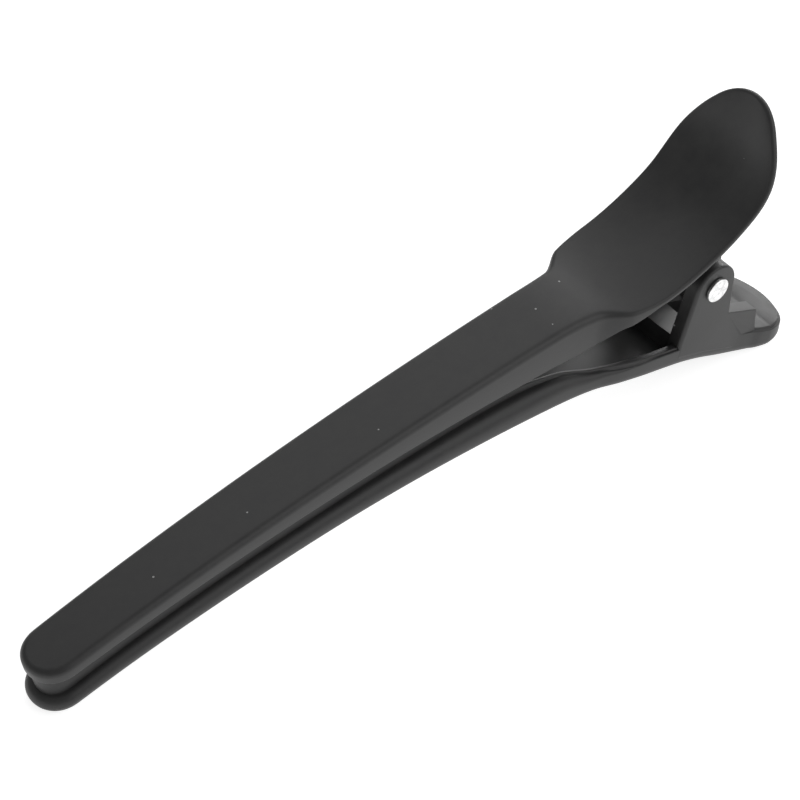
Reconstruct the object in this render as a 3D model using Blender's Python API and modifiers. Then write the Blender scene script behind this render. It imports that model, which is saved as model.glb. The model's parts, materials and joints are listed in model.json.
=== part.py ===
"""Sectioning clip: two moulded levers that pivot on a steel pin, closed by a torsion spring.

The clip is drawn in its own frame, in millimetres: the pin axis is Y through the origin, the jaws
run towards -X, the thumb pad and the tail towards +X. One empty then lays the clip down on its
lower jaw, so that the tip and the heel of the tail stand on Z = 0.
"""
import math

import bmesh
import bpy
import numpy as np
from mathutils import Vector

MM = 0.001

# How the clip lies: tipped up at the tail until tip and heel are level.
PITCH_DEG = 7.27
PIVOT_X = 42.82
PIVOT_Z = 15.95

# Each lever's centre line is a slope in degrees against the length along it, and a height at START_AT.
START_AT = -26.0
LINE_STEP = 0.25
LINE_MARGIN = 2.0

# Upper lever: the middle of its top face.
UPPER_TIP = -103.3
UPPER_END = 17.3
UPPER_START_Z = 8.42
UPPER_SLOPES = [
    (-104, 8.7), (-85, 5.2), (-65, 2.4), (-45, 0.5), (-26, -1.4), (-18, -9.8), (-12, 0.9), (-6, 14.2),
    (0, 24.1), (6, 43.3), (12, 61.7), (17.3, 53.8),
]
UPPER_HALF_WIDTHS = [
    (-101, 3.73), (-78, 4.08), (-55, 4.42), (-36, 4.65), (-24, 4.84), (-19, 5.21), (-15, 7.44), (-10, 8.09),
    (2, 8.18), (8, 8.41), (14, 7.71),
]
UPPER_SKIRTS = [
    (-103, 2.0), (-78, 2.5), (-55, 3.2), (-38, 4.3), (-28, 5.06), (-22, 5.37), (-18.5, 4.59), (-16, 2.41),
    (-13.5, 1.46), (-11, 0.85), (17.3, 0.85),
]
UPPER_EDGES = [(-103, 0.9), (-20, 1.0), (-13, 0.42), (17.3, 0.42)]
UPPER_RIM = 0.25
UPPER_WALL = 1.4
UPPER_ROOF = 1.5
DISH_DEPTH = 0.8
DISH_START = -14.0
DISH_FULL = 4.0
BELLY = 0.4
HOLLOW_END = -16.2

# Lower jaw: the middle of its underside.
LOWER_TIP = -103.0
LOWER_END = 17.3
LOWER_START_Z = -4.78
LOWER_SLOPES = [
    (-103, 8.9), (-85, 2.9), (-65, -0.4), (-45, -6.1), (-26, -9.7), (-16, -16.4), (-6, -19.3), (1, -29.4),
    (8, -22.3), (11.5, -16), (12.5, -PITCH_DEG), (17.3, -PITCH_DEG),
]
LOWER_HALF_WIDTHS = [
    (-101, 3.8), (-55, 4.4), (-24, 4.9), (-19.5, 5.1), (-15, 5.7), (-10, 5.95), (4, 5.97),
    (8.5, 6.2), (10, 6.5), (17.3, 7),
]
LOWER_HEIGHTS = [
    (-103, 5.5), (-50, 5.5), (-34, 5.1), (-25, 4.3), (-19, 3.2), (-8, 3.2), (3, 3.7), (8, 3.65), (12.5, 3.4),
    (17.3, 2.2),
]
LOWER_FLANKS = [
    (-103, 1.3), (-80, 1.5), (-65, 1.65), (-50, 1.6), (-34, 1.9), (-25, 2.4), (-18, 2.3), (-10, 2.8),
    (3, 3.3), (12.5, 3), (17.3, 1.8),
]
LOWER_LEDGES = [
    (-103, 1.2), (-80, 1.35), (-65, 1.4), (-50, 1.7), (-34, 2.0), (-25, 1.6), (-18, 0.6), (-12, 0.15),
    (17.3, 0.1),
]
LOWER_WALLS = [(-103, 2.4), (-50, 2.4), (-34, 2.7), (-25, 2.3), (-18, 1.4)]
NARROWING = 0.97
HOLLOW_FROM_TIP = 3.0
LOWER_EDGE = 1.35
LOWER_FLOOR = 0.9
STEP_AT = -5.2

TIP_ROUND = 4.1
PAD_ROUND = 14.0
TAIL_ROUND = 5.8
ROUND_POWER = 2.3

# The pin and what it goes through.
EAR_OUTER = 6.0
EAR_INNER = 4.0
EAR_RADIUS = 3.35
LUG_OUTER = 3.7
LUG_INNER = 2.3
LUG_RADIUS = 3.1
LUG_ARC_DEG = (160, 360)
LUG_ROOF = [(3.5, 11.2), (1.0, 9.75), (-0.5, 9.0), (-3.0, 8.0), (-8.5, 6.9)]
EAR_ARC_DEG = (165, 0)
EAR_BASE = [(2.8, -6.4), (7.9, -9.3), (7.9, -15.2), (3.2, -13.2), (-1.2, -10.8), (-6.2, -8.7), (-5.9, -6.7)]
PIN_RADIUS = 1.1
PIN_CLEARANCE = 0.1
HEAD_RADIUS = 1.7
HEAD_HEIGHT = 0.45
HEAD_GAP = 0.1
PEEN_HEIGHT = 0.45
PIN_SIDES = 24
HOLE_LENGTH = 20

# The pin's two ends, as (share of the head's radius, share of the end's height).
HEAD_PROFILE = [(0, 1), (0.7, 0.93), (0.93, 0.7), (1, 0.4), (1, 0)]
PEEN_PROFILE = [(0.85, 0), (0.85, 0.55), (0.6, 0.9), (0, 1)]

# The spring: a coil on the pin and one leg at each end of it.
WIRE_RADIUS = 0.4
COIL_RADIUS = 2.25
COIL_TURNS = 4
COIL_PITCH = 0.95
COIL_STEP_DEG = 24
LOWER_LEG = [(1.3, -11.8), (4.3, -13.4)]
UPPER_LEG = [(6.0, 10.8), (9.4, 14.7)]
POCKET_HALF_WIDTH = 2.4
POCKET_FLOOR = 0.9
POCKET_FROM = -0.5
POCKET_TO = 6.3
POCKET_SECTIONS = 9

# Fineness: long steps along the jaws, short ones from the shoulder on.
LONG_STEPS = 24
SHORT_STEPS = 24
SHORT_FROM = -26.0
TIP_STEPS = 5
END_STEPS = 8
HOLLOW_STEPS = 30
EDGE_STEPS = 3
TOP_STEPS = 6
LUG_STEPS = 16
EAR_STEPS = 14
SHARP_DEG = 35

# Limits that keep a section whole where the piece is narrow or low: shares of its half width, and lengths.
MOST_EDGE = 0.6
MOST_LEDGE = 0.45
LEAST_FULLNESS = 0.002
LEAST_HALF_WIDTH = 0.3
LEAST_RISE = 0.05
CUT_PAST = 1.0


def between(knots, s):
    """Smooth value at s through the knots (station, value), which never overshoots them."""
    stations = [knot[0] for knot in knots]
    values = [knot[1] for knot in knots]
    s = min(max(s, stations[0]), stations[-1])
    chords = [(b[1] - a[1]) / (b[0] - a[0]) for a, b in zip(knots, knots[1:])]
    inner = [2 * a * b / (a + b) if a * b > 0 else 0 for a, b in zip(chords, chords[1:])]
    slopes = [chords[0]] + inner + [chords[-1]]
    i = min(max(int(np.searchsorted(stations, s)) - 1, 0), len(chords) - 1)
    step = stations[i + 1] - stations[i]
    t = (s - stations[i]) / step
    rise = values[i + 1] - values[i]
    a = slopes[i] * step - rise
    b = rise - slopes[i + 1] * step
    return values[i] + rise * t + t * (1 - t) * (a * (1 - t) + b * t)


class CentreLine:
    """A line in the clip's side view, given by its slope along its own length."""

    def __init__(self, slopes, start_z):
        first, last = slopes[0][0] - LINE_MARGIN, slopes[-1][0] + LINE_MARGIN
        self.s = np.arange(first, last + LINE_STEP, LINE_STEP)
        self.slope = np.radians(np.interp(self.s, *zip(*slopes)))
        middle = (self.slope[1:] + self.slope[:-1]) / 2
        self.x = np.concatenate([[0], np.cumsum(np.cos(middle) * LINE_STEP)])
        self.z = np.concatenate([[0], np.cumsum(np.sin(middle) * LINE_STEP)])
        self.x += START_AT - np.interp(START_AT, self.s, self.x)
        self.z += start_z - np.interp(START_AT, self.s, self.z)

    def point(self, s, y, n):
        """The point y across and n above the line at s, in millimetres."""
        slope = np.interp(s, self.s, self.slope)
        x = np.interp(s, self.s, self.x) - n * math.sin(slope)
        z = np.interp(s, self.s, self.z) + n * math.cos(slope)
        return Vector((x, y, z))


def end_factor(s, start, end, start_round, end_round):
    """1 along the piece, and down to almost 0 at its two rounded ends."""
    into_end = min(max((s - (end - end_round)) / end_round, 0), 1)
    into_start = min(max((start + start_round - s) / start_round, 0), 1)
    return math.sqrt(max(1 - max(into_end, into_start) ** ROUND_POWER, LEAST_FULLNESS))


def stations(start, end, start_round, end_round):
    """Stations from start to end, closer together towards the shoulder and in the rounded ends."""
    tip = [start + start_round * (1 - math.cos(math.pi / 2 * k / TIP_STEPS)) for k in range(TIP_STEPS)]
    jaw = list(np.linspace(start + start_round, SHORT_FROM, LONG_STEPS, endpoint=False))
    shoulder = list(np.linspace(SHORT_FROM, end - end_round, SHORT_STEPS))
    last = [end - end_round * (1 - math.sin(math.pi / 2 * k / END_STEPS)) for k in range(1, END_STEPS + 1)]
    return tip + jaw + shoulder + last


def nose(s, start, end, radius):
    """How far a face that ends in that radius has curved in at s, close to the piece's two ends."""
    away = min(s - start, end - s, radius)
    return radius - math.sqrt(radius ** 2 - (radius - max(away, 0)) ** 2)


def corner(y, n, radius, start_deg, steps=EDGE_STEPS):
    """Points of a quarter round of that radius about (y, n), turning clockwise from start_deg."""
    angles = [math.radians(start_deg - 90 * k / steps) for k in range(steps + 1)]
    return [(y + radius * math.cos(a), n + radius * math.sin(a)) for a in angles]


def upper_width(s):
    return between(UPPER_HALF_WIDTHS, s) * end_factor(s, UPPER_TIP, UPPER_END, TIP_ROUND, PAD_ROUND)


def lower_width(s):
    return between(LOWER_HALF_WIDTHS, s) * end_factor(s, LOWER_TIP, LOWER_END, TIP_ROUND, TAIL_ROUND)


def dish(s):
    """How deep the thumb pad is dished at s."""
    t = min(max((s - DISH_START) / (DISH_FULL - DISH_START), 0), 1)
    return DISH_DEPTH * t * t * (3 - 2 * t)


def upper_section(s):
    """Outline of the solid upper lever across s: straight sides, top and underside sagging at the pad."""
    half = upper_width(s)
    round_edge = between(UPPER_EDGES, s)
    edge = min(round_edge, MOST_EDGE * half)
    skirt = between(UPPER_SKIRTS, s)
    crown = -nose(s, UPPER_TIP, UPPER_END, min(round_edge, skirt - UPPER_RIM))
    flat = half - edge
    shares = [2 * k / TOP_STEPS - 1 for k in range(1, TOP_STEPS)]
    hollow = dish(s) * end_factor(s, UPPER_TIP, UPPER_END, TIP_ROUND, PAD_ROUND) ** 2
    belly = hollow * (DISH_DEPTH + BELLY) / DISH_DEPTH
    top = [(flat * share, crown - hollow * (1 - share ** 2) ** 2) for share in shares]
    underside = [(-flat * share, -skirt - belly * (1 - share ** 2) ** 2) for share in shares]
    left = corner(-flat, crown - edge, edge, 180)
    right = corner(flat, crown - edge, edge, 90)
    return [(-half, -skirt)] + left + top + right + [(half, -skirt)] + underside


def upper_hollow_section(s):
    """Outline of the channel under the upper lever."""
    half = max(upper_width(s) - UPPER_WALL, LEAST_HALF_WIDTH)
    skirt = between(UPPER_SKIRTS, s) + CUT_PAST
    return [(-half, -skirt), (-half, -UPPER_ROOF), (half, -UPPER_ROOF), (half, -skirt)]


def lower_section(s):
    """Outline of the solid lower jaw across s: flat bottom, round lower edges, and a narrower top.

    Along the jaw the top stands in from the flank by a rounded ledge; at the ears and the tail the
    flank runs straight up.
    """
    half = lower_width(s)
    edge = min(LOWER_EDGE, MOST_EDGE * half)
    ledge = min(between(LOWER_LEDGES, s), MOST_LEDGE * half)
    height = between(LOWER_HEIGHTS, s)
    flank = min(between(LOWER_FLANKS, s), height - ledge - LEAST_RISE)
    inner = half - ledge
    base = nose(s, LOWER_TIP, LOWER_END, LOWER_EDGE)
    right = corner(half - edge, base + edge, edge, 0)
    left = corner(-(half - edge), base + edge, edge, 270)
    round_in = corner(-inner, flank, ledge, 180)
    round_out = corner(inner, flank, ledge, 90)
    top = [(-inner * NARROWING, height), (inner * NARROWING, height)]
    return round_in + top + round_out + right + left


def channel_section(s):
    """Outline of the channel in the lower jaw."""
    half = max(lower_width(s) - between(LOWER_WALLS, s), LEAST_HALF_WIDTH)
    top = between(LOWER_HEIGHTS, s) + CUT_PAST
    return [(-half, top), (half, top), (half, LOWER_FLOOR), (-half, LOWER_FLOOR)]


def pocket_section(s):
    """Outline of the pocket in the tail, between the ears, that the spring's lower leg lies in."""
    half = POCKET_HALF_WIDTH
    top = between(LOWER_HEIGHTS, s) + CUT_PAST
    return [(-half, top), (half, top), (half, POCKET_FLOOR), (-half, POCKET_FLOOR)]


def loft(name, line, section, where):
    """A closed solid through the sections at the given stations of a centre line."""
    mesh = bmesh.new()
    rings = [[mesh.verts.new(line.point(s, y, n) * MM) for y, n in section(s)] for s in where]
    for ring, following in zip(rings, rings[1:]):
        for i in range(len(ring)):
            j = (i + 1) % len(ring)
            mesh.faces.new((ring[i], ring[j], following[j], following[i]))
    mesh.faces.new(rings[0])
    mesh.faces.new(rings[-1])
    bmesh.ops.recalc_face_normals(mesh, faces=mesh.faces)
    return finish_mesh(name, mesh)


def plate(name, outline, inner, outer):
    """A flat plate in the side view, from y = inner to y = outer, with the given (x, z) outline."""
    mesh = bmesh.new()
    face = mesh.faces.new([mesh.verts.new(Vector((x, inner, z)) * MM) for x, z in outline])
    moved = bmesh.ops.extrude_face_region(mesh, geom=[face])["geom"]
    verts = [item for item in moved if isinstance(item, bmesh.types.BMVert)]
    bmesh.ops.translate(mesh, verts=verts, vec=Vector((0, outer - inner, 0)) * MM)
    bmesh.ops.recalc_face_normals(mesh, faces=mesh.faces)
    return finish_mesh(name, mesh)


def finish_mesh(name, mesh):
    """An object from a bmesh, smooth except at its edges."""
    data = bpy.data.meshes.new(name)
    mesh.to_mesh(data)
    mesh.free()
    data.shade_smooth()
    data.set_sharp_from_angle(angle=math.radians(SHARP_DEG))
    return bpy.data.objects.new(name, data)


def arc(radius, start_deg, end_deg, steps):
    """Points of an arc about the pin axis, in the side view."""
    angles = [math.radians(start_deg + (end_deg - start_deg) * k / steps) for k in range(steps + 1)]
    return [(radius * math.cos(a), radius * math.sin(a)) for a in angles]


def plastic(name, colour, roughness):
    """A Principled material of one colour."""
    material = bpy.data.materials.new(name)
    material.use_nodes = True
    shader = material.node_tree.nodes["Principled BSDF"]
    shader.inputs["Base Color"].default_value = (*colour, 1)
    shader.inputs["Roughness"].default_value = roughness
    return material


def steel(name, colour, roughness):
    """A Principled metal."""
    material = plastic(name, colour, roughness)
    material.node_tree.nodes["Principled BSDF"].inputs["Metallic"].default_value = 1
    return material


def combine(piece, helper, operation, helpers):
    """Add or cut a helper solid with an exact Boolean."""
    helpers.objects.link(helper)
    helper.hide_render = True
    helper.display_type = "WIRE"
    helper.parent = piece.parent
    modifier = piece.modifiers.new(helper.name, "BOOLEAN")
    modifier.operation = operation
    modifier.solver = "EXACT"
    modifier.object = helper


def pin_hole(name):
    """A bar along the pin axis, wider than the pin by its clearance."""
    mesh = bmesh.new()
    bmesh.ops.create_cone(
        mesh, cap_ends=True, segments=PIN_SIDES, radius1=(PIN_RADIUS + PIN_CLEARANCE) * MM,
        radius2=(PIN_RADIUS + PIN_CLEARANCE) * MM, depth=HOLE_LENGTH * MM,
    )
    bmesh.ops.rotate(mesh, verts=mesh.verts, matrix=rotation_to_y())
    return finish_mesh(name, mesh)


def rotation_to_y():
    """Turns the Z axis onto the Y axis."""
    return Vector((0, 0, 1)).rotation_difference(Vector((0, 1, 0))).to_matrix()


def make_upper_lever(line, material, helpers, parts, rest):
    """Jaw, shoulder and thumb pad in one moulding, with two lugs under the pad for the pin."""
    where = stations(UPPER_TIP, UPPER_END, TIP_ROUND, PAD_ROUND)
    lever = loft("upper_lever", line, upper_section, where)
    lever.data.materials.append(material)
    parts.objects.link(lever)
    lever.parent = rest
    hollow_stations = np.linspace(UPPER_TIP + HOLLOW_FROM_TIP, HOLLOW_END, HOLLOW_STEPS)
    combine(lever, loft("upper_hollow", line, upper_hollow_section, hollow_stations), "DIFFERENCE", helpers)
    outline = LUG_ROOF + arc(LUG_RADIUS, *LUG_ARC_DEG, LUG_STEPS)
    for side in (-1, 1):
        lug = plate("lug_near" if side < 0 else "lug_far", outline, side * LUG_INNER, side * LUG_OUTER)
        combine(lever, lug, "UNION", helpers)
    combine(lever, pin_hole("upper_pin_hole"), "DIFFERENCE", helpers)


def make_lower_jaw(line, material, helpers, parts, rest):
    """Jaw, ears and tail in one moulding: the ears hold the pin outside the upper lever's lugs."""
    where = stations(LOWER_TIP, LOWER_END, TIP_ROUND, TAIL_ROUND)
    jaw = loft("lower_jaw", line, lower_section, where)
    jaw.data.materials.append(material)
    parts.objects.link(jaw)
    jaw.parent = rest
    hollow_stations = np.linspace(LOWER_TIP + HOLLOW_FROM_TIP, STEP_AT, HOLLOW_STEPS)
    combine(jaw, loft("lower_hollow", line, channel_section, hollow_stations), "DIFFERENCE", helpers)
    outline = EAR_BASE + arc(EAR_RADIUS, *EAR_ARC_DEG, EAR_STEPS)
    for side in (-1, 1):
        plate_name = "ear_near" if side < 0 else "ear_far"
        combine(jaw, plate(plate_name, outline, side * EAR_INNER, side * EAR_OUTER), "UNION", helpers)
    pocket_stations = np.linspace(POCKET_FROM, POCKET_TO, POCKET_SECTIONS)
    combine(jaw, loft("spring_pocket", line, pocket_section, pocket_stations), "DIFFERENCE", helpers)
    combine(jaw, pin_hole("lower_pin_hole"), "DIFFERENCE", helpers)


def make_pin(material, parts, rest):
    """The pivot pin: a turned profile with a low domed head and a smaller peened end."""
    face = EAR_OUTER + HEAD_GAP
    profile = [(HEAD_RADIUS * out, face + HEAD_HEIGHT * up) for out, up in HEAD_PROFILE]
    profile += [(PIN_RADIUS, face), (PIN_RADIUS, -face)]
    profile += [(HEAD_RADIUS * out, -face - PEEN_HEIGHT * up) for out, up in PEEN_PROFILE]
    mesh = bmesh.new()
    verts = [mesh.verts.new(Vector((radius, 0, height)) * MM) for radius, height in profile]
    for first, second in zip(verts, verts[1:]):
        mesh.edges.new((first, second))
    bmesh.ops.rotate(mesh, verts=mesh.verts, matrix=rotation_to_y())
    pin = finish_mesh("pivot_pin", mesh)
    pin.data.materials.append(material)
    parts.objects.link(pin)
    pin.parent = rest
    pin.rotation_euler = (0, 0, math.pi)
    turn = pin.modifiers.new("turn", "SCREW")
    turn.axis = "Y"
    turn.steps = PIN_SIDES
    turn.render_steps = PIN_SIDES
    turn.use_merge_vertices = True
    turn.merge_threshold = 0.00001


def tangent_deg(point, side):
    """Where on the coil, as an angle, a straight leg from the point (x, z) touches it."""
    x, z = point
    return math.degrees(math.atan2(z, x) + side * math.acos(COIL_RADIUS / math.hypot(x, z)))


def make_spring(material, parts, rest):
    """The torsion spring: a close coil round the pin, one leg down to the tail, one up under the pad."""
    start = tangent_deg(LOWER_LEG[0], -1)
    turned = start - tangent_deg(UPPER_LEG[0], 1) + 360 * COIL_TURNS
    count = round(turned / COIL_STEP_DEG)
    half_width = COIL_PITCH * (turned / 360) / 2
    coil = []
    for k in range(count + 1):
        angle = math.radians(start - turned * k / count)
        y = half_width * (2 * k / count - 1)
        coil.append(Vector((COIL_RADIUS * math.cos(angle), y, COIL_RADIUS * math.sin(angle))))
    lower_leg = [Vector((x, -half_width, z)) for x, z in reversed(LOWER_LEG)]
    upper_leg = [Vector((x, half_width, z)) for x, z in UPPER_LEG]
    route = lower_leg + coil + upper_leg
    curve = bpy.data.curves.new("torsion_spring", "CURVE")
    curve.dimensions = "3D"
    curve.bevel_depth = WIRE_RADIUS * MM
    curve.bevel_resolution = 2
    curve.use_fill_caps = True
    spline = curve.splines.new("POLY")
    spline.points.add(len(route) - 1)
    for point, place in zip(spline.points, route):
        point.co = (*(place * MM), 1)
    spring = bpy.data.objects.new("torsion_spring", curve)
    curve.materials.append(material)
    parts.objects.link(spring)
    spring.parent = rest


def clear_scene():
    for item in list(bpy.data.objects):
        bpy.data.objects.remove(item)


def main():
    clear_scene()
    parts = bpy.data.collections.new("sectioning_clip")
    helpers = bpy.data.collections.new("helpers")
    for collection in (parts, helpers):
        bpy.context.scene.collection.children.link(collection)
    helpers.hide_render = True
    rest = bpy.data.objects.new("clip_at_rest", None)
    parts.objects.link(rest)
    rest.location = Vector((PIVOT_X, 0, PIVOT_Z)) * MM
    rest.rotation_euler = (0, -math.radians(PITCH_DEG), 0)

    upper_line = CentreLine(UPPER_SLOPES, UPPER_START_Z)
    lower_line = CentreLine(LOWER_SLOPES, LOWER_START_Z)
    black = plastic("black_plastic", (0.018, 0.018, 0.018), 0.5)
    make_upper_lever(upper_line, black, helpers, parts, rest)
    make_lower_jaw(lower_line, black, helpers, parts, rest)
    make_pin(steel("pin_steel", (0.8, 0.8, 0.8), 0.25), parts, rest)
    make_spring(steel("spring_steel", (0.35, 0.35, 0.36), 0.35), parts, rest)


main()
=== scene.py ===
"""Looks of the sectioning clip: fine meshes, finishes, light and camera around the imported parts.

Shapes are drawn in the clip's own frame, in millimetres: the pin axis is Y through the origin, the
jaws run towards -X, the thumb pad and the tail towards +X. CLIP_TO_WORLD lays them down as packed.
"""

import json
import math

import bmesh
import bpy
import numpy as np
from mathutils import Matrix, Vector


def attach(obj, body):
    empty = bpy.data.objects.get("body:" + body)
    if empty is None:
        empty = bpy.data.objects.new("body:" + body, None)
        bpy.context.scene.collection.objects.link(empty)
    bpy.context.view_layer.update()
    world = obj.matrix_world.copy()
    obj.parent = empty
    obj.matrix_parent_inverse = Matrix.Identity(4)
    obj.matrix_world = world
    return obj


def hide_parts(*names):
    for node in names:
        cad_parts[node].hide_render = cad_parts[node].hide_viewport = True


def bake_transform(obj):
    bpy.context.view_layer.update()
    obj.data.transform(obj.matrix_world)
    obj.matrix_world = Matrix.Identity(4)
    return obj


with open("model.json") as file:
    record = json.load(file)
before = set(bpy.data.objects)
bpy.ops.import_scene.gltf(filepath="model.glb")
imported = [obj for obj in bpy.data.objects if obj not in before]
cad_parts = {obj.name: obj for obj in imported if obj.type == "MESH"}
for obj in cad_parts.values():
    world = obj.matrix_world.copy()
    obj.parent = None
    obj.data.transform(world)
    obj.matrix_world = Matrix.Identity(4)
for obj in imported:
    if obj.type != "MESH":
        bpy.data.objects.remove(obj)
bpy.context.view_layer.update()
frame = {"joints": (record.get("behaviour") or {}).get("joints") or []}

MM = 0.001
PITCH_DEG = 7.27
PIVOT = Vector(frame["joints"][0]["pos_m"])
TIPPED = Matrix.Rotation(-math.radians(PITCH_DEG), 4, "Y")
CLIP_TO_WORLD = Matrix.Translation(PIVOT) @ TIPPED @ Matrix.Scale(MM, 4)

# Each lever's centre line is a slope in degrees against the length along it, and a height at START_AT.
START_AT = -26.0
LINE_STEP = 0.25
LINE_MARGIN = 2.0

# Upper lever: the middle of its top face.
UPPER_TIP = -103.3
UPPER_END = 17.3
UPPER_START_Z = 8.42
UPPER_SLOPES = [
    (-104, 8.7), (-85, 5.2), (-65, 2.4), (-45, 0.5), (-26, -1.4), (-18, -9.8), (-12, 0.9), (-6, 14.2),
    (0, 24.1), (6, 43.3), (12, 61.7), (17.3, 53.8),
]
UPPER_HALF_WIDTHS = [
    (-101, 3.73), (-78, 4.08), (-55, 4.42), (-36, 4.65), (-24, 4.84), (-19, 5.21), (-15, 7.44), (-10, 8.09),
    (2, 8.18), (8, 8.41), (14, 7.71),
]
UPPER_SKIRTS = [
    (-103, 2.0), (-78, 2.5), (-55, 3.2), (-38, 4.3), (-28, 5.06), (-22, 5.37), (-18.5, 4.59), (-16, 2.41),
    (-13.5, 1.46), (-11, 0.85), (17.3, 0.85),
]
UPPER_EDGES = [(-103, 0.9), (-20, 1.0), (-13, 0.42), (17.3, 0.42)]
UPPER_RIM = 0.25
UPPER_WALL = 1.4
UPPER_ROOF = 1.5
DISH_DEPTH = 0.8
DISH_START = -14.0
DISH_FULL = 4.0
BELLY = 0.4
HOLLOW_END = -16.2
HOLLOW_RAMP = 1.2

# Lower jaw: the middle of its underside.
LOWER_TIP = -103.0
LOWER_END = 17.3
LOWER_START_Z = -4.78
LOWER_SLOPES = [
    (-103, 8.9), (-85, 2.9), (-65, -0.4), (-45, -6.1), (-26, -9.7), (-16, -16.4), (-6, -19.3), (1, -29.4),
    (8, -22.3), (11.5, -16), (12.5, -PITCH_DEG), (17.3, -PITCH_DEG),
]
LOWER_HALF_WIDTHS = [
    (-101, 3.8), (-55, 4.4), (-24, 4.9), (-19.5, 5.1), (-15, 5.7), (-10, 5.95), (4, 5.97),
    (8.5, 6.2), (10, 6.5), (17.3, 7),
]
LOWER_HEIGHTS = [
    (-103, 5.5), (-50, 5.5), (-34, 5.1), (-25, 4.3), (-19, 3.2), (-8, 3.2), (3, 3.7), (8, 3.65), (12.5, 3.4),
    (17.3, 2.2),
]
LOWER_FLANKS = [
    (-103, 1.3), (-80, 1.5), (-65, 1.65), (-50, 1.6), (-34, 1.9), (-25, 2.4), (-18, 2.3), (-10, 2.8),
    (3, 3.3), (12.5, 3), (17.3, 1.8),
]
LOWER_LEDGES = [
    (-103, 1.2), (-80, 1.35), (-65, 1.4), (-50, 1.7), (-34, 2.0), (-25, 1.6), (-18, 0.6), (-12, 0.15),
    (17.3, 0.1),
]
LOWER_WALLS = [(-103, 2.4), (-50, 2.4), (-34, 2.7), (-25, 2.3), (-18, 1.4)]
LEAN = 0.03
LOWER_EDGE = 1.35
LOWER_RIM = 0.22
LOWER_FLOOR = 0.9
STEP_AT = -5.2
STEP_RAMP = 0.25
TAIL_DISH = 0.15

TIP_ROUND = 4.1
PAD_ROUND = 14.0
TAIL_ROUND = 5.8
ROUND_POWER = 2.3

# Ears, lugs and pin.
EAR_OUTER = 6.0
EAR_INNER = 4.0
EAR_RADIUS = 3.35
EAR_ARC_DEG = (165, 0)
EAR_BASE = [(2.8, -6.4), (7.9, -9.3), (7.9, -15.2), (3.2, -13.2), (-1.2, -10.8), (-6.2, -8.7), (-5.9, -6.7)]
EAR_FRONT_POINTS = 2
LUG_OUTER = 3.7
LUG_INNER = 2.3
LUG_RADIUS = 3.1
LUG_ARC_DEG = (160, 360)
LUG_ROOF = [(3.5, 11.2), (1.0, 9.75), (-0.5, 9.0), (-3.0, 8.0), (-8.5, 6.9)]
PIN_RADIUS = 1.1
PIN_CLEARANCE = 0.1
HEAD_RADIUS = 1.7
HEAD_HEIGHT = 0.45
HEAD_GAP = 0.1
HEAD_BEND = 0.07
HEAD_DOME = 0.04
HEAD_CHAMFER = 0.04
DOME_FROM = 0.92
DOME_TO = 0.02
HOLE_HALF_LENGTH = 10

# The pin's peened end: its side as a share of the head's radius, its rounding, and (radius, rise) on top.
PEEN_SHARE = 0.85
PEEN_BEND_SHARE = 0.25
PEEN_SIDE = 0.25
PEEN_BEND = 0.15
PEEN_TOP = [(0.51, 0.43), (0.02, 0.45)]

# The spring, and the pocket in the tail for its lower leg.
WIRE_RADIUS = 0.4
COIL_RADIUS = 2.25
COIL_TURNS = 4
COIL_PITCH = 0.95
LOWER_LEG = [(1.3, -11.8), (4.3, -13.4)]
UPPER_LEG = [(6.0, 10.8), (9.4, 14.7)]
POCKET_HALF_WIDTH = 2.4
POCKET_FLOOR = 0.9
POCKET_FROM = -0.5
POCKET_TO = 6.3

# Fineness of the meshes.
STATION_STEP = 0.7
FINE_REACH = 1.0
FINE_STATIONS = 17
ARC_STEPS = 8
BEND_STEPS = 3
END_STEPS = 22
CAP_COLUMNS = 16
ROUND_STEPS = 48
POCKET_SECTIONS = 24
HOLE_SIDES = 64
PIN_SIDES = 96
DOME_RINGS = 16
WIRE_SIDES = 14
COIL_STEPS = 40
LEG_STEPS = 8
SHARP_DEG = 32
MERGE = 1e-7
MITRE_LIMIT = 0.5

# Small radii of the mouldings.
INNER_BEND = 0.3
DRAFT = 0.05
LUG_BEND = 0.2
EAR_BEND = 0.18
EAR_FRONT_BEND = 0.55
LEG_BEND = 1.0
MOST_BEND_SHARE = 1 / 3
CUT_PAST = 1.0

# A wire's softened end, as (how far past the end, how thick), both as shares of its radius.
WIRE_END = [(0.3, 0.6), (0.2, 0.9)]

# Finishes.
PLASTIC_DARK = (0.017, 0.017, 0.0175, 1)
PLASTIC_LIGHT = (0.024, 0.0238, 0.0235, 1)
PLASTIC_GLOSS = (0.40, 0.52)
PLASTIC_IOR = 1.46
DUST_COLOUR = (0.3, 0.3, 0.3, 1)
DUST_SIZE = 0.07
DUST_RARITY = 0.88
BUMP_DEPTH = 0.00002
FLOOR_COLOUR = (0.6, 0.6, 0.6, 1)
FLOOR_HALF = 3

# Camera, about a point in the clip's own frame, in millimetres and degrees.
CAMERA_TARGET = (-44.69, 2.70, 4.71)
CAMERA_DISTANCE = 450
CAMERA_AZIMUTH = -40
CAMERA_ELEVATION = 48
CAMERA_ROLL = -1
CAMERA_LENS = 168.1
CAMERA_SENSOR = 36

# Studio: each softbox has a name, azimuth, elevation, distance, size and radiance, in degrees and metres.
WORLD_LEVEL = 0.35
FLOOR_GLOW = 0.8
SOFTBOXES = [
    ("key", 33, 14, 1.2, (0.6, 0.3), 6.5),
    ("high", 57, 55, 1.2, (1.1, 1.1), 0.8),
    ("near", -62, 38, 1.2, (1.0, 0.8), 1.3),
    ("side", -15, 35, 1.2, (1.0, 0.8), 1.0),
]


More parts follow.
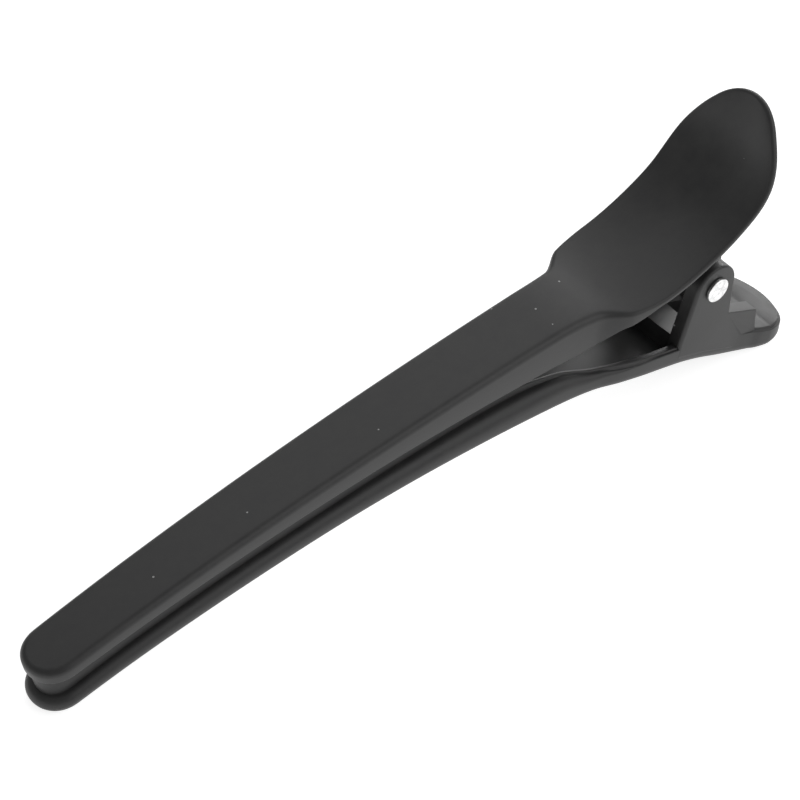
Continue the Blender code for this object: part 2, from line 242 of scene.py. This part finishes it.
def smooth(knots):
    """A function that runs smoothly through the knots (station, value) and never overshoots them."""
    at, value = (np.array(column, float) for column in zip(*knots))
    chord = np.diff(value) / np.diff(at)
    product = chord[:-1] * chord[1:]
    total = np.where(product > 0, chord[:-1] + chord[1:], 1)
    slope = np.concatenate([chord[:1], np.where(product > 0, 2 * product / total, 0), chord[-1:]])

    def run(s):
        s = np.clip(s, at[0], at[-1])
        i = np.clip(np.searchsorted(at, s) - 1, 0, len(chord) - 1)
        step = at[i + 1] - at[i]
        rise = value[i + 1] - value[i]
        t = (s - at[i]) / step
        a = slope[i] * step - rise
        b = rise - slope[i + 1] * step
        return value[i] + rise * t + t * (1 - t) * (a * (1 - t) + b * t)

    return run


def ramp(s, start, end):
    """0 before start, 1 after end, and a smooth step between."""
    t = np.clip((s - start) / (end - start), 0, 1)
    return t * t * (3 - 2 * t)


class CentreLine:
    """A line in the clip's side view, given by its slope along its own length."""

    def __init__(self, slopes, start_z):
        first, last = slopes[0][0] - LINE_MARGIN, slopes[-1][0] + LINE_MARGIN
        self.s = np.arange(first, last + LINE_STEP, LINE_STEP)
        self.slope = np.radians(np.interp(self.s, *zip(*slopes)))
        middle = (self.slope[1:] + self.slope[:-1]) / 2
        self.x = np.concatenate([[0], np.cumsum(np.cos(middle) * LINE_STEP)])
        self.z = np.concatenate([[0], np.cumsum(np.sin(middle) * LINE_STEP)])
        self.x += START_AT - np.interp(START_AT, self.s, self.x)
        self.z += start_z - np.interp(START_AT, self.s, self.z)

    def points(self, s, y, n):
        """The points y across and n above the line at s, as rows of x, y, z."""
        slope = np.interp(s, self.s, self.slope)
        x = np.interp(s, self.s, self.x) - n * np.sin(slope)
        z = np.interp(s, self.s, self.z) + n * np.cos(slope)
        return np.stack([x, y * np.ones_like(x), z], axis=-1)


class Outline:
    """Half of a lever's plan: from the middle of its tip, along its +y side, to the middle of its end."""

    def __init__(self, half_widths, start, end, start_round, end_round, fine=()):
        self.start, self.end, self.start_round, self.end_round = start, end, start_round, end_round
        turn = np.linspace(0, math.pi / 2, END_STEPS + 1)
        inner = np.arange(start + start_round, end - end_round, STATION_STEP)[1:]
        offsets = np.linspace(-FINE_REACH, FINE_REACH, FINE_STATIONS)
        around = [place + offset for place in fine for offset in offsets]
        middle = np.unique(np.round(np.concatenate([inner, around]), 3))
        self.s = np.concatenate([
            start + start_round * (1 - np.cos(turn)), middle, end - end_round * (1 - np.sin(turn)),
        ])
        self.w = smooth(half_widths)(self.s) * np.sqrt(self.fullness(self.s))
        ahead_s = np.append(self.s[1:], self.s[-2])
        ahead_w = np.append(self.w[1:], -self.w[-2])
        back_s = np.append(self.s[1], self.s[:-1])
        back_w = np.append(-self.w[1], self.w[:-1])
        along = np.stack([ahead_s - back_s, ahead_w - back_w])
        along /= np.linalg.norm(along, axis=0)
        self.inward = np.stack([along[1], -along[0]])

    def fullness(self, s, inset=0.0):
        """1 along the lever, falling to 0 at the two ends of its plan, or of a plan that far inside it."""
        into_end = np.clip((s - (self.end - self.end_round)) / (self.end_round - inset), 0, 1)
        into_start = np.clip((self.start + self.start_round - s) / (self.start_round - inset), 0, 1)
        return 1 - np.maximum(into_end, into_start) ** ROUND_POWER


class Skin:
    """A closed surface made of rings that follow an outline, each a little further in, up or down."""

    def __init__(self, line, outline):
        self.line = line
        self.outline = outline
        self.points = []
        self.faces = []
        self.last = None

    def ring(self, offset, height):
        """Add a ring at that inward offset and height, each a function of the station."""
        o = self.outline
        away = offset(o.s)
        s = o.s + away * o.inward[0]
        w = np.maximum(o.w + away * o.inward[1], 0)
        w[[0, -1]] = 0
        side = self.line.points(s, w, height(s))
        other = side[-2:0:-1] * (1, -1, 1)
        first = len(self.points)
        self.points.extend(side)
        self.points.extend(other)
        around = 2 * len(s) - 2
        if self.last is not None:
            for j in range(around):
                k = (j + 1) % around
                self.faces.append((self.last[0] + j, self.last[0] + k, first + k, first + j))
        self.last = (first, s, w)

    def cap(self, height):
        """Close the last ring with a ladder of quads at height(s, across), across running from -1 to 1."""
        first, s, w = self.last
        count = len(s)
        rows = []
        for i in range(1, count - 1):
            across = 1 - 2 * np.arange(1, CAP_COLUMNS) / CAP_COLUMNS
            base = len(self.points)
            where = np.full(len(across), s[i])
            self.points.extend(self.line.points(where, w[i] * across, height(s[i], across)))
            rows.append([first + i, *range(base, base + len(across)), first + 2 * count - 2 - i])
        for row, following in zip(rows, rows[1:]):
            for m in range(CAP_COLUMNS):
                self.faces.append((row[m], row[m + 1], following[m + 1], following[m]))
        for m in range(CAP_COLUMNS):
            self.faces.append((first, rows[0][m], rows[0][m + 1]))
            self.faces.append((first + count - 1, rows[-1][m + 1], rows[-1][m]))

    def build(self, name):
        """The object made of the rings and caps so far."""
        return solid(name, self.points, self.faces)


def solid(name, points, faces):
    """A smooth-shaded object from points in the clip's frame."""
    mesh = bmesh.new()
    verts = [mesh.verts.new(CLIP_TO_WORLD @ Vector(point)) for point in points]
    for face in faces:
        mesh.faces.new([verts[i] for i in face])
    bmesh.ops.remove_doubles(mesh, verts=mesh.verts, dist=MERGE)
    bmesh.ops.dissolve_degenerate(mesh, edges=mesh.edges, dist=MERGE)
    bmesh.ops.recalc_face_normals(mesh, faces=mesh.faces)
    data = bpy.data.meshes.new(name)
    mesh.to_mesh(data)
    mesh.free()
    data.shade_smooth()
    thing = bpy.data.objects.new(name, data)
    bpy.context.scene.collection.objects.link(thing)
    return thing


def quarter(steps=ARC_STEPS):
    """(sine, cosine) along a quarter turn."""
    return [(math.sin(a), math.cos(a)) for a in np.linspace(0, math.pi / 2, steps + 1)]


def plate(name, outline, inner, outer, radii):
    """A flat plate in the side view from y = inner to y = outer, its outer edge rounded by radii.

    The outline is (x, z) points and the radii one number for each.
    """
    at = np.array(outline, float)
    following = np.roll(at, -1, axis=0) - at
    before = at - np.roll(at, 1, axis=0)
    lengths = [np.linalg.norm(v, axis=1, keepdims=True) for v in (before, following)]
    along_before, along_following = before / lengths[0], following / lengths[1]
    along = along_before + along_following
    normal = np.stack([along[:, 1], -along[:, 0]], 1)
    area = np.sum(at[:, 0] * np.roll(at[:, 1], -1) - np.roll(at[:, 0], -1) * at[:, 1])
    normal *= np.sign(area) / np.maximum(np.sum(normal ** 2, axis=1, keepdims=True), MITRE_LIMIT) * 2
    radii = np.array(radii)[:, None]
    outward = math.copysign(1, outer - inner)
    rings = [(0 * radii, np.full(len(at), inner))]
    for sine, cosine in quarter():
        rings.append((radii * (1 - cosine), outer - outward * radii[:, 0] * (1 - sine)))
    points = []
    for inset, y in rings:
        place = at - normal * inset
        points.extend(np.stack([place[:, 0], y, place[:, 1]], 1))
    return solid(name, points, ring_faces(len(rings), len(at)))


def arc(radius, start_deg, end_deg, steps):
    """Points of an arc about the pin axis, in the side view."""
    angles = np.radians(np.linspace(start_deg, end_deg, steps + 1))
    return [(radius * math.cos(a), radius * math.sin(a)) for a in angles]


def tube(name, route, radius, sides):
    """A round wire along the route, with softened ends."""
    route = np.array(route, float)
    along = np.gradient(route, axis=0)
    along /= np.linalg.norm(along, axis=1, keepdims=True)
    end = len(route) - 1
    rings = [(0, -past, thick) for past, thick in WIRE_END]
    rings += [(i, 0, 1) for i in range(end + 1)]
    rings += [(end, past, thick) for past, thick in reversed(WIRE_END)]
    unlike_start = (0.3, 1.0, 0.2)
    side = np.cross(along[0], unlike_start)
    points = []
    for i, push, size in rings:
        side = side - along[i] * (side @ along[i])
        side /= np.linalg.norm(side)
        up = np.cross(along[i], side)
        for k in range(sides):
            angle = 2 * math.pi * k / sides
            spoke = side * math.cos(angle) + up * math.sin(angle)
            points.append(route[i] + radius * (along[i] * push + size * spoke))
    return solid(name, points, ring_faces(len(rings), sides))


def ring_faces(rings, sides):
    """Faces of a stack of closed rings of points, with a flat face on each end."""
    faces = [tuple(range(sides)), tuple(range((rings - 1) * sides, rings * sides))]
    for ring in range(rings - 1):
        for k in range(sides):
            m = (k + 1) % sides
            faces.append((ring * sides + k, ring * sides + m, (ring + 1) * sides + m, (ring + 1) * sides + k))
    return faces


def turned(name, profile, sides):
    """A turned piece about the pin axis from a profile of (radius, y)."""
    points = []
    for radius, y in profile:
        for k in range(sides):
            angle = 2 * math.pi * k / sides
            points.append((radius * math.cos(angle), y, radius * math.sin(angle)))
    return solid(name, points, ring_faces(len(profile), sides))


def combine(piece, helpers):
    """Add or cut the helper solids, given as (helper, operation), and leave one mesh."""
    for helper, operation in helpers:
        modifier = piece.modifiers.new(helper.name, "BOOLEAN")
        modifier.operation = operation
        modifier.solver = "EXACT"
        modifier.object = helper
    graph = bpy.context.evaluated_depsgraph_get()
    made = bpy.data.meshes.new_from_object(piece.evaluated_get(graph))
    piece.modifiers.clear()
    piece.data = made
    for helper, _ in helpers:
        bpy.data.objects.remove(helper)
    made.shade_smooth()
    made.set_sharp_from_angle(angle=math.radians(SHARP_DEG))


def pin_hole(name):
    """A bar along the pin axis, wider than the pin by its clearance."""
    radius = PIN_RADIUS + PIN_CLEARANCE
    return turned(name, [(radius, -HOLE_HALF_LENGTH), (radius, HOLE_HALF_LENGTH)], HOLE_SIDES)


def make_upper_lever(line):
    """Jaw, shoulder and thumb pad in one skin, with the two lugs under the pad."""
    outline = Outline(UPPER_HALF_WIDTHS, UPPER_TIP, UPPER_END, TIP_ROUND, PAD_ROUND, fine=[HOLLOW_END])
    skirt = smooth(UPPER_SKIRTS)
    edge = smooth(UPPER_EDGES)

    def dish(s, inset=UPPER_EDGES[-1][1]):
        """How deep the pad's top is dished at s."""
        return DISH_DEPTH * ramp(s, DISH_START, DISH_FULL) * outline.fullness(s, inset)

    def depth(s):
        """How deep the channel under the lever is at s."""
        return (1 - ramp(s, HOLLOW_END - HOLLOW_RAMP, HOLLOW_END)) * np.maximum(skirt(s) - UPPER_ROOF, 0)

    def bend(s):
        """The radius inside the channel, no more than its depth allows."""
        return np.minimum(depth(s) * MOST_BEND_SHARE, INNER_BEND)

    def belly(s):
        """How far the underside of the pad's middle hangs below its rim."""
        return dish(s, UPPER_WALL + DRAFT + INNER_BEND) * (DISH_DEPTH + BELLY) / DISH_DEPTH

    skin = Skin(line, outline)
    for sine, cosine in quarter():
        skin.ring(lambda s: edge(s) * (1 - sine), lambda s: -edge(s) * (1 - cosine))
        if sine == 0:
            skin.cap(lambda s, across: -dish(s) * (1 - across ** 2) ** 2)
    for sine, cosine in quarter():
        skin.ring(lambda s: UPPER_RIM * (1 - cosine), lambda s: UPPER_RIM * (1 - sine) - skirt(s))
    for sine, cosine in quarter(BEND_STEPS):
        skin.ring(lambda s: UPPER_WALL - INNER_BEND * (1 - sine), lambda s: bend(s) * (1 - cosine) - skirt(s))
    for sine, cosine in quarter(BEND_STEPS):
        skin.ring(
            lambda s: UPPER_WALL + DRAFT + INNER_BEND * (1 - cosine),
            lambda s: depth(s) - bend(s) * (1 - sine) - skirt(s),
        )
    skin.cap(lambda s, across: depth(s) - skirt(s) - belly(s) * (1 - across ** 2) ** 2)
    lever = skin.build("upper_lever_skin")
    lug = LUG_ROOF + arc(LUG_RADIUS, *LUG_ARC_DEG, ROUND_STEPS)
    radii = [LUG_BEND] * len(lug)
    lugs = [
        (plate("lug_near", lug, -LUG_INNER, -LUG_OUTER, radii), "UNION"),
        (plate("lug_far", lug, LUG_INNER, LUG_OUTER, radii), "UNION"),
    ]
    combine(lever, lugs + [(pin_hole("upper_pin_hole"), "DIFFERENCE")])
    return lever


def make_lower_jaw(line):
    """Jaw, ears and tail in one skin: the ears hold the pin outside the upper lever's lugs."""
    outline = Outline(LOWER_HALF_WIDTHS, LOWER_TIP, LOWER_END, TIP_ROUND, TAIL_ROUND, fine=[STEP_AT])
    height = smooth(LOWER_HEIGHTS)
    ledge = smooth(LOWER_LEDGES)
    wall = smooth(LOWER_WALLS)
    upright = smooth(LOWER_FLANKS)

    def flank(s):
        """How far the jaw's upright side reaches above its underside at s."""
        return np.minimum(upright(s), height(s) - ledge(s) - LOWER_RIM - DRAFT)

    def lean(s):
        """How far in the top of the jaw stands from its flank at s."""
        return ledge(s) + LEAN * (outline.w - ledge(s))

    def depth(s):
        """How deep the channel in the jaw is at s: it ends at the step in front of the ears."""
        return (1 - ramp(s, STEP_AT, STEP_AT + STEP_RAMP)) * (height(s) - LOWER_FLOOR)

    def bend(s):
        """The radius inside the channel, no more than its depth allows."""
        return np.minimum(depth(s) * MOST_BEND_SHARE, INNER_BEND)

    def tail_dish(s):
        """How deep the tail's top is dished at s."""
        inset = LOWER_WALLS[-1][1] + DRAFT + INNER_BEND
        return TAIL_DISH * ramp(s, STEP_AT, STEP_AT + STEP_RAMP) * outline.fullness(s, inset)

    skin = Skin(line, outline)
    for sine, cosine in quarter():
        skin.ring(lambda s: LOWER_EDGE * (1 - sine), lambda s: LOWER_EDGE * (1 - cosine))
        if sine == 0:
            skin.cap(lambda s, across: 0 * across)
    for sine, cosine in quarter():
        skin.ring(lambda s: ledge(s) * (1 - cosine), lambda s: flank(s) + ledge(s) * sine)
    for sine, cosine in quarter():
        skin.ring(lambda s: lean(s) + LOWER_RIM * (1 - cosine), lambda s: height(s) - LOWER_RIM * (1 - sine))
    for sine, cosine in quarter(BEND_STEPS):
        skin.ring(lambda s: wall(s) - INNER_BEND * (1 - sine), lambda s: height(s) - bend(s) * (1 - cosine))
    for sine, cosine in quarter(BEND_STEPS):
        skin.ring(
            lambda s: wall(s) + DRAFT + INNER_BEND * (1 - cosine),
            lambda s: height(s) - depth(s) + bend(s) * (1 - sine),
        )
    skin.cap(lambda s, across: height(s) - depth(s) - tail_dish(s) * (1 - across ** 2) ** 2)
    jaw = skin.build("lower_jaw_skin")
    ear = EAR_BASE + arc(EAR_RADIUS, *EAR_ARC_DEG, ROUND_STEPS)
    radii = [EAR_BEND] * (len(EAR_BASE) - EAR_FRONT_POINTS) + [EAR_FRONT_BEND] * EAR_FRONT_POINTS
    radii += list(np.linspace(EAR_FRONT_BEND, EAR_BEND, ROUND_STEPS + 1))
    helpers = [
        (plate("ear_near", ear, -EAR_INNER, -EAR_OUTER, radii), "UNION"),
        (plate("ear_far", ear, EAR_INNER, EAR_OUTER, radii), "UNION"),
        (make_pocket(line, height), "DIFFERENCE"),
        (pin_hole("lower_pin_hole"), "DIFFERENCE"),
    ]
    combine(jaw, helpers)
    return jaw


def make_pocket(line, height):
    """The slot in the tail's floor, between the ears, that the spring's lower leg lies in."""
    points = []
    half = POCKET_HALF_WIDTH
    where = np.linspace(POCKET_FROM, POCKET_TO, POCKET_SECTIONS)
    for s in where:
        top = height(s) + CUT_PAST
        for y, n in [(-half, top), (half, top), (half, POCKET_FLOOR), (-half, POCKET_FLOOR)]:
            points.append(line.points(s, y, n))
    return solid("spring_pocket", points, ring_faces(len(where), 4))


def make_pin():
    """The pivot pin: a low domed head on the near side and a peened end on the far side."""
    face = EAR_OUTER + HEAD_GAP
    crown = -face - HEAD_HEIGHT
    head = [(HEAD_RADIUS - HEAD_CHAMFER, -face), (HEAD_RADIUS, -face - HEAD_CHAMFER)]
    for sine, cosine in quarter():
        head.append((HEAD_RADIUS - HEAD_BEND * (1 - cosine), crown + HEAD_DOME + HEAD_BEND * (1 - sine)))
    for share in np.linspace(DOME_FROM, DOME_TO, DOME_RINGS):
        head.append((HEAD_RADIUS * share, crown + HEAD_DOME * (share ** 2)))
    shank = [(PIN_RADIUS, -face), (PIN_RADIUS, face)]
    peened = [(HEAD_RADIUS * PEEN_SHARE, face), (HEAD_RADIUS * PEEN_SHARE, face + PEEN_SIDE)]
    for sine, cosine in quarter():
        share = PEEN_SHARE - PEEN_BEND_SHARE * (1 - cosine)
        peened.append((HEAD_RADIUS * share, face + PEEN_SIDE + PEEN_BEND * sine))
    peened += [(radius, face + rise) for radius, rise in PEEN_TOP]
    pin = turned("pivot_pin_skin", head[::-1] + shank + peened, PIN_SIDES)
    pin.data.set_sharp_from_angle(angle=math.radians(SHARP_DEG))
    return pin


def tangent(point, side):
    """Where on the coil, as an angle, a straight leg from the point (x, z) touches it."""
    x, z = point
    return math.atan2(z, x) + side * math.acos(COIL_RADIUS / math.hypot(x, z))


def spring_route():
    """The wire's path: the lower leg, the coil and the upper leg; and half the coil's width."""
    start = tangent(LOWER_LEG[0], -1)
    angle = start - tangent(UPPER_LEG[0], 1) + 2 * math.pi * COIL_TURNS
    half_width = COIL_PITCH * angle / (4 * math.pi)
    coil = []
    for t in np.linspace(0, 1, COIL_STEPS * COIL_TURNS):
        at = start - angle * t
        coil.append((COIL_RADIUS * math.cos(at), half_width * (2 * t - 1), COIL_RADIUS * math.sin(at)))
    lower_leg = bent(LOWER_LEG[::-1], coil[0], -half_width)
    upper_leg = bent(UPPER_LEG[::-1], coil[-1], half_width)[::-1]
    return lower_leg + coil + upper_leg, half_width


def bent(leg, joins, y):
    """Points along a leg, its one bend rounded, up to where it joins the coil."""
    (x0, z0), (x1, z1) = leg
    first, corner, last = Vector((x0, y, z0)), Vector((x1, y, z1)), Vector(joins)
    before = corner + (first - corner).normalized() * LEG_BEND
    after = corner + (last - corner).normalized() * LEG_BEND
    route = [tuple(first)]
    for t in np.linspace(0, 1, LEG_STEPS + 1):
        route.append(tuple(before * (1 - t) ** 2 + corner * 2 * t * (1 - t) + after * t * t))
    route.append(tuple((after + last) / 2))
    return route


def make_spring():
    """The spring's wire, and half the coil's width."""
    route, half_width = spring_route()
    return tube("torsion_spring_wire", route, WIRE_RADIUS, WIRE_SIDES), half_width


def node(tree, kind, **settings):
    """A shader node with its properties and input values set."""
    made = tree.nodes.new(kind)
    for key, value in settings.items():
        if key in made.inputs:
            made.inputs[key].default_value = value
        else:
            setattr(made, key, value)
    return made


def new_material(name):
    """A material with its node tree and its shader."""
    material = bpy.data.materials.new(name)
    material.use_nodes = True
    return material, material.node_tree, material.node_tree.nodes["Principled BSDF"]


def black_plastic():
    """Matte moulded plastic: fine grain, a slight mottle in its gloss, and a few specks of dust."""
    material, tree, shader = new_material("black_plastic")
    link = tree.links.new
    place = node(tree, "ShaderNodeTexCoord")

    mottle = node(tree, "ShaderNodeTexNoise", Scale=420, Detail=3, Roughness=0.6)
    link(place.outputs["Object"], mottle.inputs["Vector"])
    grain = node(tree, "ShaderNodeTexNoise", Scale=9000, Detail=2, Roughness=0.5)
    link(place.outputs["Object"], grain.inputs["Vector"])

    tone = node(tree, "ShaderNodeValToRGB")
    tone.color_ramp.elements[0].position = 0.3
    tone.color_ramp.elements[0].color = PLASTIC_DARK
    tone.color_ramp.elements[1].position = 0.7
    tone.color_ramp.elements[1].color = PLASTIC_LIGHT
    link(mottle.outputs["Fac"], tone.inputs["Fac"])

    dust = node(tree, "ShaderNodeTexVoronoi", Scale=520)
    link(place.outputs["Object"], dust.inputs["Vector"])
    near = node(tree, "ShaderNodeMath", operation="LESS_THAN")
    near.inputs[1].default_value = DUST_SIZE
    link(dust.outputs["Distance"], near.inputs[0])
    few = node(tree, "ShaderNodeSeparateColor")
    link(dust.outputs["Color"], few.inputs["Color"])
    chosen = node(tree, "ShaderNodeMath", operation="GREATER_THAN")
    chosen.inputs[1].default_value = DUST_RARITY
    link(few.outputs["Red"], chosen.inputs[0])
    speck = node(tree, "ShaderNodeMath", operation="MULTIPLY")
    link(near.outputs[0], speck.inputs[0])
    link(chosen.outputs[0], speck.inputs[1])
    colour = node(tree, "ShaderNodeMix", data_type="RGBA")
    colour.inputs["B"].default_value = DUST_COLOUR
    link(speck.outputs[0], colour.inputs["Factor"])
    link(tone.outputs["Color"], colour.inputs["A"])
    link(colour.outputs["Result"], shader.inputs["Base Color"])

    gloss = node(tree, "ShaderNodeMapRange")
    gloss.inputs["To Min"].default_value = PLASTIC_GLOSS[0]
    gloss.inputs["To Max"].default_value = PLASTIC_GLOSS[1]
    link(mottle.outputs["Fac"], gloss.inputs["Value"])
    link(gloss.outputs["Result"], shader.inputs["Roughness"])

    bump = node(tree, "ShaderNodeBump", Strength=0.25, Distance=BUMP_DEPTH)
    link(grain.outputs["Fac"], bump.inputs["Height"])
    link(bump.outputs["Normal"], shader.inputs["Normal"])
    shader.inputs["IOR"].default_value = PLASTIC_IOR
    return material


def steel(name, light, dark, rough_from, rough_to, grain_scale):
    """Bare or plated steel: a streaky gloss, faint tarnish and fine scratches."""
    material, tree, shader = new_material(name)
    link = tree.links.new
    shader.inputs["Metallic"].default_value = 1
    place = node(tree, "ShaderNodeTexCoord")
    cloud = node(tree, "ShaderNodeTexNoise", Scale=1500, Detail=4, Roughness=0.65)
    link(place.outputs["Object"], cloud.inputs["Vector"])
    tone = node(tree, "ShaderNodeValToRGB")
    tone.color_ramp.elements[0].position = 0.35
    tone.color_ramp.elements[0].color = (*dark, 1)
    tone.color_ramp.elements[1].position = 0.6
    tone.color_ramp.elements[1].color = (*light, 1)
    link(cloud.outputs["Fac"], tone.inputs["Fac"])
    link(tone.outputs["Color"], shader.inputs["Base Color"])
    gloss = node(tree, "ShaderNodeMapRange")
    gloss.inputs["To Min"].default_value = rough_from
    gloss.inputs["To Max"].default_value = rough_to
    link(cloud.outputs["Fac"], gloss.inputs["Value"])
    link(gloss.outputs["Result"], shader.inputs["Roughness"])
    grain = node(tree, "ShaderNodeTexNoise", Scale=grain_scale, Detail=3)
    link(place.outputs["Object"], grain.inputs["Vector"])
    bump = node(tree, "ShaderNodeBump", Strength=0.3, Distance=BUMP_DEPTH)
    link(grain.outputs["Fac"], bump.inputs["Height"])
    link(bump.outputs["Normal"], shader.inputs["Normal"])
    return material


def make_floor():
    """A plain white floor under the clip, with a little light of its own so that shadows stay faint."""
    mesh = bmesh.new()
    bmesh.ops.create_grid(mesh, x_segments=1, y_segments=1, size=FLOOR_HALF)
    data = bpy.data.meshes.new("floor")
    mesh.to_mesh(data)
    mesh.free()
    floor = bpy.data.objects.new("floor", data)
    bpy.context.scene.collection.objects.link(floor)
    material, _, shader = new_material("floor_white")
    shader.inputs["Base Color"].default_value = FLOOR_COLOUR
    shader.inputs["Emission Color"].default_value = (1, 1, 1, 1)
    shader.inputs["Emission Strength"].default_value = FLOOR_GLOW
    shader.inputs["Roughness"].default_value = 1
    shader.inputs["Specular IOR Level"].default_value = 0
    data.materials.append(material)


def make_light(name, azimuth, elevation, distance, size, radiance):
    """A rectangular softbox in that direction from the clip's middle: azimuth from +X towards +Y."""
    a, e = math.radians(azimuth), math.radians(elevation)
    away = Vector((math.cos(a) * math.cos(e), math.sin(a) * math.cos(e), math.sin(e)))
    data = bpy.data.lights.new(name, "AREA")
    data.shape = "RECTANGLE"
    data.size, data.size_y = size
    data.energy = radiance * math.pi * size[0] * size[1]
    light = bpy.data.objects.new(name, data)
    light.location = away * distance
    light.rotation_euler = away.to_track_quat("Z", "Y").to_euler()
    bpy.context.scene.collection.objects.link(light)


def make_studio():
    """An even white surround and the softboxes."""
    world = bpy.data.worlds.new("studio")
    world.use_nodes = True
    background = world.node_tree.nodes["Background"]
    background.inputs["Color"].default_value = (1, 1, 1, 1)
    background.inputs["Strength"].default_value = WORLD_LEVEL
    bpy.context.scene.world = world
    for light in SOFTBOXES:
        make_light(*light)
    bpy.context.scene.view_settings.view_transform = "Standard"


def make_camera():
    """Looks at the clip from its tip end, above and to the near side, as a long lens does."""
    data = bpy.data.cameras.new("camera")
    data.lens = CAMERA_LENS
    data.sensor_width = CAMERA_SENSOR
    camera = bpy.data.objects.new("camera", data)
    turn = Matrix.Rotation(math.radians(CAMERA_AZIMUTH), 4, "Z")
    tilt = Matrix.Rotation(math.radians(90 - CAMERA_ELEVATION), 4, "X")
    roll = Matrix.Rotation(math.radians(CAMERA_ROLL), 4, "Z")
    back = Matrix.Translation((0, 0, CAMERA_DISTANCE))
    aim = Matrix.Translation(CAMERA_TARGET)
    placed = CLIP_TO_WORLD @ aim @ turn @ tilt @ roll @ back
    place, rotation, _ = placed.decompose()
    camera.location = place
    camera.rotation_mode = "QUATERNION"
    camera.rotation_quaternion = rotation
    data.clip_start = 0.01
    data.clip_end = 20
    bpy.context.scene.collection.objects.link(camera)
    bpy.context.scene.camera = camera


def main():
    upper_line = CentreLine(UPPER_SLOPES, UPPER_START_Z)
    lower_line = CentreLine(LOWER_SLOPES, LOWER_START_Z)
    black = black_plastic()

    lever = make_upper_lever(upper_line)
    lever.data.materials.append(black)
    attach(lever, "upper")
    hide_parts("upper_lever")

    jaw = make_lower_jaw(lower_line)
    jaw.data.materials.append(black)
    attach(jaw, "lower")
    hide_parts("lower_jaw")

    pin = make_pin()
    pin.data.materials.append(steel("pin_steel", (0.86, 0.86, 0.86), (0.6, 0.6, 0.6), 0.12, 0.3, 2500))
    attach(pin, "lower")
    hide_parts("pivot_pin")

    spring, half_width = make_spring()
    spring.data.materials.append(steel("spring_steel", (0.5, 0.5, 0.51), (0.33, 0.33, 0.34), 0.25, 0.4, 6000))
    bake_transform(spring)
    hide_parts("torsion_spring")

    make_floor()
    make_studio()
    make_camera()


main()
